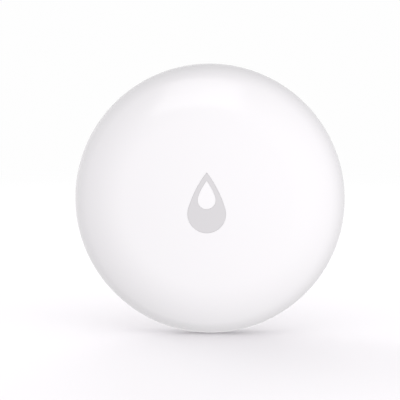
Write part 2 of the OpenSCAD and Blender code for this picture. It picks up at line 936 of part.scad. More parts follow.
top_shell();
base_shell();
shell_seal();
battery_door();
door_seal();
drop_button();
drop_window();
button_membrane();
switch_body();
switch_cover();
switch_plunger();
snap_dome();
main_board();
board_screws();
radio_chip();
crystal();
status_led();
board_passives();
antenna_track();
coin_cell();
cap_contact();
rim_contact();
probe_screws();
probe_seals();
probe_standoffs();
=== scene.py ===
import json
import math

import bmesh
import bpy
from mathutils import Matrix, Vector

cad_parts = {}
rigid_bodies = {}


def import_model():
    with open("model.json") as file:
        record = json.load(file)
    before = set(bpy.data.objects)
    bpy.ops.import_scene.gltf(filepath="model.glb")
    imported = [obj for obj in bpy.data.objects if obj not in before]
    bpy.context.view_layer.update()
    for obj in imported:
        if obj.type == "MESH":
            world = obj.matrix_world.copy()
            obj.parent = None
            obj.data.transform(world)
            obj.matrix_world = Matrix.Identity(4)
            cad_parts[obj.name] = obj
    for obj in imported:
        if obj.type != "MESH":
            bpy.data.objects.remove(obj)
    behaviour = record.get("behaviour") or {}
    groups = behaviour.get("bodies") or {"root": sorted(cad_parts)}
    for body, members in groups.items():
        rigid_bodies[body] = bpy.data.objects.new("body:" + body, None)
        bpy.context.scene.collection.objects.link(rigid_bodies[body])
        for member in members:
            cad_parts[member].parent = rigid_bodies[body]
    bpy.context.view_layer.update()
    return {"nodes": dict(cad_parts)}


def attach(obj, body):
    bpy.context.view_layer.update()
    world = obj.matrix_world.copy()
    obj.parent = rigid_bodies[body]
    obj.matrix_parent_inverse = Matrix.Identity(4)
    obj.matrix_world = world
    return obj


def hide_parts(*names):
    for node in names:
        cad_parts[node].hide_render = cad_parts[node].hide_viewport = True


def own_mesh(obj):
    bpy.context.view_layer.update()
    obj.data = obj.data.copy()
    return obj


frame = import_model()

# Base shell: the lower half of the pebble, moulded in white ABS in one shot.
# It carries the tongue for the top shell, the sleeve of the bayonet, the screw
# bosses and four small feet, and its underside has the pockets of the probes.
MM = 0.001
ROUND, WELD = 288, 1e-4
BODY_R, EQUATOR_Z = 25.0, 6.0
BELLY_R = 6.36
BELLY_X = BODY_R - BELLY_R
UNDERSIDE_R, UNDERSIDE_Z, UNDERSIDE_EDGE = 22.0, 0.6, 0.35
LEDGE_Z, LEDGE_IN_R, LEDGE_EDGE, PARTING_Z = 3.1, 23.544, 0.1, 3.4
TONGUE_IN_R, TONGUE_R, TONGUE_TOP = 20.2, 22.1, 6.7
GROOVE_R, GROOVE_LOW, GROOVE_HIGH = 21.2, 3.9, 5.1
FLOOR_Z = 2.4
DOOR_HOLE_R, DOOR_HOLE_CHAMFER, DOOR_HOLE_EDGE = 13.15, 0.25, 0.08
SLEEVE_IN_R, SLEEVE_R = 12.05, 13.85
CRADLE_IN_R, CRADLE_Z, CRADLE_TOP = 10.3, 4.45, 5.3
BOARD_Z, BOARD_TOP = 7.05, 8.05
SCREW_RING_R, SCREW_ANGLES = 16.35, (90, 210, 330)
SCREW_BOSS_R, SCREW_BORE_R, SCREW_L = 2.2, 0.97, 5.0
PROBE_X, PROBE_BORE_R, PROBE_BOSS_R, PROBE_BOSS_H = 16.15, 1.35, 2.65, 1.0
POCKET_R, POCKET_Z, POCKET_CHAMFER, POCKET_EDGE = 2.4, 1.8, 0.12, 0.06
STANDOFF_BORE_R = 2.05
FOOT_RING_R, FOOT_R, FOOT_EDGE, FOOT_ANGLES = 20.15, 1.2, 0.25, (45, 135, 225, 315)
LUG_ANGLES, LUG_SPAN, LUG_SLACK, DOOR_TURN = (90, 210, 330), 28, 2, 40
LUG_WAY_R, LUG_WAY_LOW, LUG_WAY_HIGH, LUG_ENTRY_TOP = 13.0, 3.1, 4.4, 3.6
MARK_R, MARK_DEPTH, MARK_RIM, MARK_TAPER, MARK_INSET = 0.45, 0.25, 0.06, 0.08, 1.3
OVERRUN = 0.2


def begin(r, z):
    """Starts a half section at a radius and a height, in millimetres."""
    section = bmesh.new()
    return section, section.verts.new((r * MM, 0, z * MM))


def line_to(section, last, *points):
    """Runs the half section on through the given radii and heights."""
    for r, z in points:
        last = bmesh.ops.extrude_vert_indiv(section, verts=[last])["verts"][0]
        last.co = (r * MM, 0, z * MM)
    return last


def arc_to(section, last, r, z, degrees, steps):
    """Runs the half section on along an arc about the given radius and height."""
    turned = bmesh.ops.spin(section, geom=[last], cent=(r * MM, 0, z * MM), axis=(0, 1, 0),
                            angle=math.radians(degrees), steps=steps, use_merge=False)
    return turned["geom_last"][0]


def ease(section, corners, size, segments=3, within=0.004):
    """Rounds those corners of a half section that lie at the given points."""
    near = [v for v in section.verts
            if any(math.hypot(v.co.x / MM - r, v.co.z / MM - z) < within for r, z in corners)]
    bmesh.ops.bevel(section, geom=near, offset=size * MM, offset_type="OFFSET",
                    segments=segments, profile=0.5, affect="VERTICES", material=-1)


def turned(section, steps=ROUND, closed=True):
    """Turns a half section once round the Z axis into a closed solid."""
    if closed:
        ends = [v for v in section.verts if len(v.link_edges) == 1]
        section.edges.new(ends)
    bmesh.ops.spin(section, geom=section.verts[:] + section.edges[:], cent=(0, 0, 0),
                   axis=(0, 0, 1), angle=2 * math.pi, steps=steps, use_merge=True)
    bmesh.ops.remove_doubles(section, verts=section.verts, dist=WELD * MM)
    bmesh.ops.recalc_face_normals(section, faces=section.faces)
    return section


def moved(mesh, x=0, y=0, z=0, turn=0):
    """Moves a solid, then turns it round the Z axis by the given degrees."""
    bmesh.ops.translate(mesh, verts=mesh.verts, vec=(x * MM, y * MM, z * MM))
    bmesh.ops.rotate(mesh, verts=mesh.verts, cent=(0, 0, 0),
                     matrix=Matrix.Rotation(math.radians(turn), 3, "Z"))
    return mesh


def post(r, low, high, steps=48, edge=0.0):
    """A plain round post or bore, with an optional rounding at its lower end."""
    section, last = begin(0, low)
    last = line_to(section, last, (r, low), (r, high), (0, high))
    if edge:
        ease(section, [(r, low)], edge, 4)
    return turned(section, steps, closed=False)


def ring_part(r_in, r_out, low, high, middle, span, step=1.5):
    """Part of a square ring, centred on an angle, in steps of that many degrees."""
    mesh = bmesh.new()
    corners = [mesh.verts.new((r * MM, 0, z * MM))
               for r, z in ((r_in, low), (r_out, low), (r_out, high), (r_in, high))]
    face = mesh.faces.new(corners)
    bmesh.ops.spin(mesh, geom=[face] + face.edges[:] + corners, cent=(0, 0, 0), axis=(0, 0, 1),
                   angle=math.radians(span), steps=int(span / step), use_merge=False)
    bmesh.ops.recalc_face_normals(mesh, faces=mesh.faces)
    return moved(mesh, turn=middle - span / 2)


def as_object(name, mesh):
    """Puts a shaped mesh into the scene as an object at the origin."""
    data = bpy.data.meshes.new(name)
    mesh.to_mesh(data)
    mesh.free()
    piece = bpy.data.objects.new(name, data)
    bpy.context.scene.collection.objects.link(piece)
    return piece


def worked(mesh, tools, operation):
    """Joins the tools to a solid or cuts them out of it, and gives the new solid."""
    blank = as_object("blank", mesh)
    rack = bpy.data.collections.new("rack")
    for tool in tools:
        held = as_object("tool", tool)
        bpy.context.scene.collection.objects.unlink(held)
        rack.objects.link(held)
    step = blank.modifiers.new("work", "BOOLEAN")
    step.operation, step.solver = operation, "EXACT"
    step.operand_type, step.collection = "COLLECTION", rack
    step.use_self = False
    graph = bpy.context.evaluated_depsgraph_get()
    shaped = bmesh.new()
    shaped.from_object(blank, graph)
    for held in [blank] + rack.objects[:]:
        data = held.data
        bpy.data.objects.remove(held)
        bpy.data.meshes.remove(data)
    bpy.data.collections.remove(rack)
    bmesh.ops.remove_doubles(shaped, verts=shaped.verts, dist=WELD * MM)
    return shaped


def fitted(name, mesh, finish, body, slot, *stands_for, crease=35):
    """Makes the finished piece, ties it to its body and hides the CAD nodes it stands for. The slot
    is not used.
    """
    piece = as_object(name, mesh)
    piece.data.materials.append(finish)
    piece.data.shade_smooth()
    piece.data.set_sharp_from_angle(angle=math.radians(crease))
    piece.modifiers.new("even_shading", "WEIGHTED_NORMAL").keep_sharp = True
    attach(piece, body)
    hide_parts(*stands_for)
    return piece


class Shade:
    """A node's output. Sums and products of it add Math nodes."""

    def __init__(self, finish, node, output):
        self.finish, self.node = finish, node
        self.socket = node.outputs[output]

    def out(self, output):
        return Shade(self.finish, self.node, output)

    def math(self, operation, *terms):
        return self.finish.add("ShaderNodeMath", {"operation": operation}, dict(enumerate(terms)))

    def __add__(self, other):
        return self.math("ADD", self, other)

    def __radd__(self, other):
        return self.math("ADD", other, self)

    def __sub__(self, other):
        return self.math("SUBTRACT", self, other)

    def __rsub__(self, other):
        return self.math("SUBTRACT", other, self)

    def __mul__(self, other):
        return self.math("MULTIPLY", self, other)

    def __rmul__(self, other):
        return self.math("MULTIPLY", other, self)


class Finish:
    """The node tree of a material or of the world."""

    def __init__(self, name, owner=None):
        self.owner = owner or bpy.data.materials.new(name)
        self.owner.use_nodes = True
        self.tree = self.owner.node_tree
        self.tree.nodes.clear()

    def add(self, kind, settings={}, sockets={}, output=0):
        """Adds a node, sets it up and links or fills its inputs."""
        node = self.tree.nodes.new(kind)
        for key, value in settings.items():
            setattr(node, key, value)
        for key, value in sockets.items():
            if isinstance(value, Shade):
                self.tree.links.new(value.socket, node.inputs[key])
            else:
                node.inputs[key].default_value = value
        return Shade(self, node, output) if node.outputs else None

    def noise(self, per_mm, detail=2.0):
        """Noise on the piece's own coordinates, with that many waves in a millimetre."""
        place = self.add("ShaderNodeTexCoord", output="Object")
        return self.add("ShaderNodeTexNoise", {}, {"Vector": place, "Scale": per_mm / MM,
                                                   "Detail": detail})

    def between(self, factor, first, second):
        """A colour between two colours."""
        return self.add("ShaderNodeMix", {"data_type": "RGBA"},
                        {"Factor": factor, 6: (*first, 1), 7: (*second, 1)}, output=2)

    def surface(self, **sockets):
        shader = self.add("ShaderNodeBsdfPrincipled", {},
                          {key.replace("_", " "): value for key, value in sockets.items()})
        self.add("ShaderNodeOutputMaterial", {}, {"Surface": shader})
        return self.owner


def moulded_plastic(name, colour, shade, gloss):
    """Injection-moulded plastic: faint flow marks, a fine grain and an even gloss."""
    finish = Finish(name)
    flow = finish.noise(0.06, 3)
    fine = finish.noise(4.0, 3)
    grit = finish.add("ShaderNodeBump", {}, {"Height": fine, "Strength": 0.02,
                                             "Distance": 0.02 * MM})
    return finish.surface(Base_Color=finish.between(flow, colour, shade),
                          Roughness=gloss + (fine - 0.5) * 0.06, Normal=grit, IOR=1.5)


white_abs = moulded_plastic("white_abs", (0.885, 0.864, 0.888), (0.877, 0.857, 0.88), 0.2)

belly_low = math.degrees(math.asin((EQUATOR_Z - UNDERSIDE_Z) / BELLY_R))
belly_ledge = math.degrees(math.asin((EQUATOR_Z - LEDGE_Z) / BELLY_R))
ledge_r = BELLY_X + BELLY_R * math.cos(math.radians(belly_ledge))
hole_chamfer = [(DOOR_HOLE_R, UNDERSIDE_Z + DOOR_HOLE_CHAMFER),
                (DOOR_HOLE_R + DOOR_HOLE_CHAMFER, UNDERSIDE_Z)]
section, last = begin(*hole_chamfer[1])
last = line_to(section, last, (UNDERSIDE_R, UNDERSIDE_Z))
last = arc_to(section, last, BELLY_X, EQUATOR_Z, belly_ledge - belly_low, 16)
last = line_to(section, last, (LEDGE_IN_R, LEDGE_Z), (LEDGE_IN_R, PARTING_Z), (TONGUE_R, PARTING_Z),
               (TONGUE_R, GROOVE_LOW), (GROOVE_R, GROOVE_LOW), (GROOVE_R, GROOVE_HIGH),
               (TONGUE_R, GROOVE_HIGH), (TONGUE_R, TONGUE_TOP), (TONGUE_IN_R, TONGUE_TOP),
               (TONGUE_IN_R, FLOOR_Z), (SLEEVE_R, FLOOR_Z), (SLEEVE_R, CRADLE_TOP),
               (CRADLE_IN_R, CRADLE_TOP), (CRADLE_IN_R, CRADLE_Z), (SLEEVE_IN_R, CRADLE_Z),
               (SLEEVE_IN_R, FLOOR_Z), (DOOR_HOLE_R, FLOOR_Z), hole_chamfer[0])
ease(section, [(UNDERSIDE_R, UNDERSIDE_Z)], UNDERSIDE_EDGE, 5)
ease(section, [(ledge_r, LEDGE_Z)], LEDGE_EDGE)
ease(section, hole_chamfer, DOOR_HOLE_EDGE)
base = turned(section)

joined = [moved(post(SCREW_BOSS_R, FLOOR_Z - OVERRUN, BOARD_Z), SCREW_RING_R, turn=a)
          for a in SCREW_ANGLES]
joined += [moved(post(PROBE_BOSS_R, FLOOR_Z - OVERRUN, FLOOR_Z + PROBE_BOSS_H), side * PROBE_X)
           for side in (-1, 1)]
joined += [moved(post(FOOT_R, 0, UNDERSIDE_Z + OVERRUN, edge=FOOT_EDGE), FOOT_RING_R, turn=a)
           for a in FOOT_ANGLES]
base = worked(base, joined, "UNION")


def dimple():
    """A shallow round lock mark with an eased rim, as a cutter."""
    bottom = UNDERSIDE_Z + MARK_DEPTH
    section, last = begin(0, UNDERSIDE_Z - OVERRUN)
    last = line_to(section, last, (MARK_R + MARK_RIM, UNDERSIDE_Z - OVERRUN),
                   (MARK_R + MARK_RIM, UNDERSIDE_Z), (MARK_R, UNDERSIDE_Z + MARK_RIM),
                   (MARK_R - MARK_TAPER, bottom), (0, bottom))
    ease(section, [(MARK_R - MARK_TAPER, bottom)], MARK_RIM)
    return turned(section, 40, closed=False)


cuts = []
mouth_r, socket_top = POCKET_R + POCKET_CHAMFER, FLOOR_Z + PROBE_BOSS_H + OVERRUN
for side in (-1, 1):
    section, last = begin(0, UNDERSIDE_Z - OVERRUN)
    last = line_to(section, last, (mouth_r, UNDERSIDE_Z - OVERRUN), (mouth_r, UNDERSIDE_Z),
                   (POCKET_R, UNDERSIDE_Z + POCKET_CHAMFER), (POCKET_R, POCKET_Z),
                   (PROBE_BORE_R, POCKET_Z), (PROBE_BORE_R, FLOOR_Z), (STANDOFF_BORE_R, FLOOR_Z),
                   (STANDOFF_BORE_R, socket_top), (0, socket_top))
    ease(section, [(POCKET_R, UNDERSIDE_Z + POCKET_CHAMFER)], POCKET_EDGE)
    cuts.append(moved(turned(section, 72, closed=False), side * PROBE_X))
cuts += [moved(dimple(), DOOR_HOLE_R + MARK_INSET, turn=a) for a in (-90, -90 - DOOR_TURN)]
cuts += [moved(post(SCREW_BORE_R, BOARD_TOP - SCREW_L, BOARD_Z + OVERRUN), SCREW_RING_R, turn=a)
         for a in SCREW_ANGLES]
way, way_in_r = LUG_SPAN + 2 * LUG_SLACK, SLEEVE_IN_R - OVERRUN
for a in LUG_ANGLES:
    cuts.append(ring_part(way_in_r, LUG_WAY_R, LUG_WAY_LOW, LUG_WAY_HIGH,
                          a - DOOR_TURN / 2, DOOR_TURN + way))
    cuts.append(ring_part(way_in_r, LUG_WAY_R, FLOOR_Z - OVERRUN, LUG_ENTRY_TOP, a - DOOR_TURN, way))
base = worked(base, cuts, "DIFFERENCE")
fitted("base_housing", base, white_abs, "housing", "shell_white", "base_shell")

# Probes: two stainless pan-head screws, turned from bar, with a cross recess.
# Each clamps a rubber ring in its pocket and threads into a brass standoff,
# which stands on the floor of the base and is soldered into the board.
PROBE_HEAD_R, PROBE_HEAD_LOW, PROBE_HEAD_TOP = 2.2, 0.2, 1.1
PROBE_HEAD_CHAMFER, PROBE_HEAD_EDGE, PROBE_EDGE = 0.5, 0.22, 0.08
PROBE_SHANK_R, PROBE_TIP_Z = 1.25, 6.1
RECESS_L, RECESS_W, RECESS_DEPTH, RECESS_TAPER = 2.5, 0.5, 0.45, (0.62, 0.8, 1)
LATHE_PITCH = 0.11


def recess_blade(turn):
    """One tapered wing of a cross recess, as a cutter."""
    mesh = bmesh.new()
    over = 0.3
    size = Matrix.Diagonal((RECESS_L * MM, RECESS_W * MM, (RECESS_DEPTH + over) * MM, 1))
    middle = Matrix.Translation((0, 0, (PROBE_HEAD_LOW + (RECESS_DEPTH - over) / 2) * MM))
    made = bmesh.ops.create_cube(mesh, size=1, matrix=middle @ size)["verts"]
    deep = [v for v in made if v.co.z > PROBE_HEAD_LOW * MM]
    bmesh.ops.scale(mesh, verts=deep, vec=RECESS_TAPER)
    return moved(mesh, turn=turn)


screws = []
head_chamfer = [(PROBE_HEAD_R - PROBE_HEAD_CHAMFER, PROBE_HEAD_LOW),
                (PROBE_HEAD_R, PROBE_HEAD_LOW + PROBE_HEAD_CHAMFER)]
for side in (-1, 1):
    section, last = begin(0, PROBE_HEAD_LOW)
    last = line_to(section, last, *head_chamfer, (PROBE_HEAD_R, PROBE_HEAD_TOP),
                   (PROBE_SHANK_R, PROBE_HEAD_TOP), (PROBE_SHANK_R, PROBE_TIP_Z), (0, PROBE_TIP_Z))
    ease(section, head_chamfer, PROBE_HEAD_EDGE, 5)
    ease(section, [(PROBE_HEAD_R, PROBE_HEAD_TOP), (PROBE_SHANK_R, PROBE_TIP_Z)], PROBE_EDGE)
    screw = turned(section, 96, closed=False)
    for turn in (0, 90):
        screw = worked(screw, [recess_blade(turn)], "DIFFERENCE")
    screws.append(moved(screw, side * PROBE_X))

turned_steel = Finish("turned_steel")
place = turned_steel.add("ShaderNodeTexCoord", output="Object")
axes = turned_steel.add("ShaderNodeSeparateXYZ", {}, {"Vector": place})
across, along = axes.out("X"), axes.out("Y")
out_x = across.math("ABSOLUTE", across) - PROBE_X * MM
from_axis = out_x * out_x + along * along
from_axis = from_axis.math("SQRT", from_axis)
lathe_lines = from_axis * (2 * math.pi / (LATHE_PITCH * MM))
lathe_lines = lathe_lines.math("SINE", lathe_lines) + turned_steel.noise(3.0, 4) * 2
tool_marks = turned_steel.add("ShaderNodeBump", {}, {"Height": lathe_lines, "Strength": 0.12,
                                                     "Distance": 0.01 * MM})
smear = turned_steel.noise(0.8, 3)
turned_steel = turned_steel.surface(
    Base_Color=turned_steel.between(smear, (0.66, 0.65, 0.62), (0.56, 0.55, 0.53)),
    Metallic=1.0, Roughness=0.2 + smear * 0.12, Normal=tool_marks)
for side, screw in zip(("left", "right"), screws):
    fitted("probe_screw_" + side, screw, turned_steel, "housing", "probe_steel", "probe_screws")


def dress(finish, *names):
    """Gives CAD nodes that keep their shape a finish."""
    for name in names:
        for held in frame["nodes"][name].material_slots:
            held.material = finish


def black_rubber(name):
    """Moulded rubber: nearly black, matt, with a fine skin."""
    finish = Finish(name)
    bloom = finish.noise(0.9, 3)
    skin = finish.add("ShaderNodeBump", {}, {"Height": finish.noise(6.0, 3), "Strength": 0.2,
                                             "Distance": 0.02 * MM})
    colour = finish.between(bloom, (0.022, 0.022, 0.022), (0.04, 0.04, 0.039))
    return finish.surface(Base_Color=colour, Roughness=0.62 + bloom * 0.15, Normal=skin)


def bare_metal(name, colour, dull, gloss):
    """Rolled, drawn or plated metal with faint working lines and uneven tarnish."""
    finish = Finish(name)
    tarnish = finish.noise(0.5, 4)
    place = finish.add("ShaderNodeTexCoord", output="Object")
    drawn = finish.add("ShaderNodeMapping", {}, {"Vector": place,
                                                 "Scale": (0.6 / MM, 14 / MM, 14 / MM)})
    streaks = finish.add("ShaderNodeTexNoise", {}, {"Vector": drawn, "Scale": 1.0, "Detail": 3.0})
    marks = finish.add("ShaderNodeBump", {}, {"Height": streaks, "Strength": 0.08,
                                              "Distance": 0.02 * MM})
    return finish.surface(Base_Color=finish.between(tarnish, colour, dull), Metallic=1.0,
                          Roughness=gloss + streaks * 0.12, Normal=marks)


seal_rubber = black_rubber("seal_rubber")
dress(seal_rubber, "probe_seals", "shell_seal", "door_seal")
dress(bare_metal("turned_brass", (0.74, 0.55, 0.26), (0.6, 0.42, 0.19), 0.24), "probe_standoffs")

# Circuit board: a round glass laminate under green solder mask, held on the
# bosses by three plated screws. It carries the radio chip, its crystal, small
# ceramic parts, the status light and a copper antenna along its edge.
laminate = Finish("green_solder_mask")
weave = laminate.noise(2.2, 2)
ink = laminate.noise(0.2, 3)
ripple = laminate.add("ShaderNodeBump", {}, {"Height": weave, "Strength": 0.15,
                                             "Distance": 0.02 * MM})
laminate = laminate.surface(
    Base_Color=laminate.between(ink, (0.012, 0.12, 0.045), (0.02, 0.16, 0.06)),
    Roughness=0.28 + weave * 0.12, Normal=ripple)
dress(laminate, "main_board")
plated_steel = bare_metal("plated_steel", (0.66, 0.66, 0.64), (0.54, 0.54, 0.53), 0.2)
dress(plated_steel, "board_screws", "crystal", "switch_cover")


def moulding_compound(name, colour, shade, gloss):
    """Filled resin, as on chips and switches: matt, with a sandy skin."""
    finish = Finish(name)
    sand = finish.noise(7.0, 2)
    skin = finish.add("ShaderNodeBump", {}, {"Height": sand, "Strength": 0.3,
                                             "Distance": 0.015 * MM})
    return finish.surface(Base_Color=finish.between(sand, colour, shade),
                          Roughness=gloss + sand * 0.12, Normal=skin)


dress(moulding_compound("black_resin", (0.018, 0.018, 0.019), (0.03, 0.03, 0.031), 0.5),
      "radio_chip")
dress(moulding_compound("tan_ceramic", (0.42, 0.3, 0.17), (0.33, 0.23, 0.13), 0.4),
      "board_passives")
dress(moulding_compound("pale_resin", (0.86, 0.83, 0.7), (0.8, 0.76, 0.62), 0.2), "status_led")
dress(bare_metal("bare_copper", (0.72, 0.42, 0.24), (0.58, 0.31, 0.17), 0.3), "antenna_track")

# Tactile switch: a black nylon body closed by a thin plated cover, soldered to
# the middle of the board. The stamped steel dome in its well snaps flat when
# the plunger is pushed.
SWITCH_Y, WELL_Z = -1.6, 8.25
DISC_R, DISC_RISE, DISC_T, DISC_KEPT = 1.4, 0.25, 0.08, 0.15
dress(moulding_compound("black_nylon", (0.025, 0.025, 0.026), (0.04, 0.04, 0.041), 0.45),
      "switch_body", "switch_plunger")
ball_r = (DISC_R ** 2 + DISC_RISE ** 2) / (2 * DISC_RISE)
ball_z = WELL_Z + DISC_RISE - ball_r
lip_r = math.sqrt((ball_r - DISC_T) ** 2 - (ball_r - DISC_RISE) ** 2)
section, last = begin(0, WELL_Z + DISC_RISE)
last = arc_to(section, last, 0, ball_z, math.degrees(math.asin(DISC_R / ball_r)), 12)
last = line_to(section, last, (lip_r, WELL_Z))
last = arc_to(section, last, 0, ball_z, -math.degrees(math.asin(lip_r / (ball_r - DISC_T))), 12)
snap = fitted("steel_snap_dome", moved(turned(section, 64, closed=False), y=SWITCH_Y), plated_steel,
              "housing", "plated_steel", "snap_dome")
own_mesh(snap)

# Cell and contacts: a bare stainless coin cell, and two stamped and plated
# bronze springs soldered under the board that press on its cap and its rim.
dress(bare_metal("drawn_stainless", (0.6, 0.6, 0.59), (0.52, 0.52, 0.51), 0.22), "coin_cell")
dress(bare_metal("spring_bronze", (0.78, 0.64, 0.38), (0.66, 0.51, 0.28), 0.25),
      "cap_contact", "rim_contact")

# Battery door: a round white moulding that closes the underside. Its spigot has
# three bayonet lugs, a rubber ring sits in the groove of its edge, and a coin
# turns it by the slot. A small dimple lines up with those of the base.
DOOR_R, DOOR_TOP, DOOR_CHAMFER, DOOR_EDGE = 13.0, 2.35, 0.25, 0.1
DOOR_GROOVE_R, DOOR_GROOVE_LOW, DOOR_GROOVE_HIGH = 12.25, 1.1, 2.1
SPIGOT_IN_R, SPIGOT_R, SPIGOT_TOP = 10.3, 11.9, 4.3
LUG_R, LUG_Z = 12.9, 3.2
SLOT_L, SLOT_W, SLOT_DEPTH = 16.0, 2.2, 1.0
SLOT_CHAMFER, SLOT_RIM, SLOT_ROOT, SLOT_STEPS = 0.15, 0.1, 0.2, 64

door_chamfer = [(DOOR_R - DOOR_CHAMFER, UNDERSIDE_Z), (DOOR_R, UNDERSIDE_Z + DOOR_CHAMFER)]
section, last = begin(0, UNDERSIDE_Z)
last = line_to(section, last, *door_chamfer, (DOOR_R, DOOR_GROOVE_LOW),
               (DOOR_GROOVE_R, DOOR_GROOVE_LOW), (DOOR_GROOVE_R, DOOR_GROOVE_HIGH),
               (DOOR_R, DOOR_GROOVE_HIGH), (DOOR_R, DOOR_TOP), (SPIGOT_R, DOOR_TOP),
               (SPIGOT_R, SPIGOT_TOP), (SPIGOT_IN_R, SPIGOT_TOP), (SPIGOT_IN_R, DOOR_TOP),
               (0, DOOR_TOP))
ease(section, door_chamfer, DOOR_EDGE, 4)
door = turned(section, closed=False)
lugs = [ring_part(SPIGOT_R - OVERRUN, LUG_R, LUG_Z, SPIGOT_TOP, a, LUG_SPAN) for a in LUG_ANGLES]
door = worked(door, lugs, "UNION")

half, slot_z = SLOT_W / 2, UNDERSIDE_Z + SLOT_DEPTH
section, last = begin(0, UNDERSIDE_Z - OVERRUN)
last = line_to(section, last, (half + SLOT_CHAMFER, UNDERSIDE_Z - OVERRUN),
               (half + SLOT_CHAMFER, UNDERSIDE_Z), (half, UNDERSIDE_Z + SLOT_CHAMFER),
               (half, slot_z), (0, slot_z))
ease(section, [(half, UNDERSIDE_Z + SLOT_CHAMFER)], SLOT_RIM)
ease(section, [(half, slot_z)], SLOT_ROOT, 4)
slot = moved(turned(section, SLOT_STEPS, closed=False), turn=180 / SLOT_STEPS)
for end in (-1, 1):
    bmesh.ops.translate(slot, verts=[v for v in slot.verts if v.co.x * end > WELD * MM],
                        vec=(end * (SLOT_L - SLOT_W) / 2 * MM, 0, 0))
door = worked(door, [slot, moved(dimple(), 0, MARK_INSET - DOOR_R)], "DIFFERENCE")
fitted("coin_slot_door", door, white_abs, "door", "shell_white", "battery_door")

# Button membrane: a disc of translucent silicone bonded under the collar of the
# top shell. Its thin web seals the opening, and the boss in it moves with the
# drop button and passes the push on to the switch.
WEB_R, WEB_Z, WEB_T = 9.495, 10.95, 0.5
BOSS_R, BOSS_TOP, BOSS_GAP = 1.65, 11.95, 0.02
NOSE_R, NOSE_LOW, TIP_R, TIP_H, BOSS_EDGE = 1.15, 9.2, 0.7, 0.45, 0.1
milky_silicone = moulding_compound("milky_silicone", (0.78, 0.78, 0.75), (0.72, 0.72, 0.69), 0.4)
boss_hole = moved(post(BOSS_R + BOSS_GAP, WEB_Z - WEB_T, WEB_Z + 2 * WEB_T, 64), y=SWITCH_Y)
web = worked(post(WEB_R, WEB_Z, WEB_Z + WEB_T, 192), [boss_hole], "DIFFERENCE")
fitted("membrane_web", web, milky_silicone, "housing", "membrane_silicone", "button_membrane")
section, last = begin(0, NOSE_LOW)
last = line_to(section, last, (TIP_R, NOSE_LOW), (NOSE_R, NOSE_LOW + TIP_H), (NOSE_R, WEB_Z),
               (BOSS_R, WEB_Z), (BOSS_R, BOSS_TOP), (0, BOSS_TOP))
ease(section, [(TIP_R, NOSE_LOW), (BOSS_R, BOSS_TOP)], BOSS_EDGE)
boss = moved(turned(section, 64, closed=False), y=SWITCH_Y)
fitted("membrane_boss", boss, milky_silicone, "button", "membrane_silicone", "button_membrane")

# Top shell: the domed upper half, moulded in the same white ABS and polished to
# a soft gloss. Its mouth snaps over the tongue of the base, and the drop-shaped
# opening for the button is cut through the middle of the dome.
BODY_TOP, WALL = 15.0, 1.8
DOME_R, BROW_R, BROW_X, SHOULDER_R = 101.0, 16.0, 13.0, 6.0
DOME_Z = BODY_TOP - DOME_R
BROW_Z = DOME_Z + math.sqrt((DOME_R - BROW_R) ** 2 - BROW_X ** 2)
SHOULDER_X = BODY_R - SHOULDER_R
FACE_LEAN = math.degrees(math.atan2(BROW_X, BROW_Z - DOME_Z))
BROW_LEAN = math.degrees(math.atan2(SHOULDER_X - BROW_X, EQUATOR_Z - BROW_Z))
MOUTH_R, SNAP_R, SNAP_LOW, SNAP_HIGH, RIM_EDGE = 22.2, 22.65, 5.8, 6.6, 0.12
COLLAR_IN_R, COLLAR_R, COLLAR_Z, SEAT_Z = 8.295, 9.495, 11.45, 12.8
DROP_W, DROP_SIDE_R, DROP_Y, DROP_GAP = 7.0, 20.0, -2.045, 0.02
DROP_TURN_X, DROP_TURN_Y = 0.96, 0.28
OPENING_R, OPENING_RING, OPENING_EDGE, ROUND_AGAIN_R = 4.0, 0.1, 0.02, 8.0


def dome_height(r):
    """Height of the face at a radius."""
    return DOME_Z + math.sqrt(DOME_R ** 2 - r ** 2)


def dome_angle(r, ball_r=DOME_R):
    """Degrees from the middle of the face out to a radius."""
    return math.degrees(math.asin(r / ball_r))


def drop_reach(angle, width, side_r, y, grow=0.0):
    """Distance from the Z axis to the outline of a drop, along an angle."""
    dx, dy = abs(math.cos(angle)), math.sin(angle)
    r, far = width / 2, side_r - width / 2

    def meet(cx, cy, radius):
        along = dx * cx + dy * cy
        return along + math.sqrt(along ** 2 + radius ** 2 - cx ** 2 - cy ** 2)

    reach = meet(0, y, r + grow)
    if reach * dy - y > DROP_TURN_Y * (r + grow):
        reach = meet(-DROP_TURN_X * far, y - DROP_TURN_Y * far, side_r + grow)
    return reach


def polar(v):
    """A point's radius in millimetres and its angle about the Z axis."""
    return math.hypot(v.co.x, v.co.y) / MM, math.atan2(v.co.y, v.co.x)


def put(v, r, angle):
    """Moves a point to a radius along an angle, at the height that it has."""
    v.co.x, v.co.y = r * MM * math.cos(angle), r * MM * math.sin(angle)


section, last = begin(OPENING_R, SEAT_Z)
last = line_to(section, last, (OPENING_R, dome_height(OPENING_R)))
start = dome_angle(OPENING_R)
for r, steps in ((OPENING_R + OPENING_RING, 1), (OPENING_R + 2 * OPENING_RING, 1),
                 (ROUND_AGAIN_R, 12)):
    last = arc_to(section, last, 0, DOME_Z, dome_angle(r) - start, steps)
    start = dome_angle(r)
last = arc_to(section, last, 0, DOME_Z, FACE_LEAN - start, 16)
last = arc_to(section, last, BROW_X, BROW_Z, BROW_LEAN - FACE_LEAN, 24)
last = arc_to(section, last, SHOULDER_X, EQUATOR_Z, 90 - BROW_LEAN, 28)
belly_parting = math.degrees(math.asin((EQUATOR_Z - PARTING_Z) / BELLY_R))
last = arc_to(section, last, BELLY_X, EQUATOR_Z, belly_parting, 12)
rim_r = BELLY_X + BELLY_R * math.cos(math.radians(belly_parting))
inner_r = SHOULDER_R - WALL
mouth_top = EQUATOR_Z + math.sqrt(inner_r ** 2 - (MOUTH_R - SHOULDER_X) ** 2)
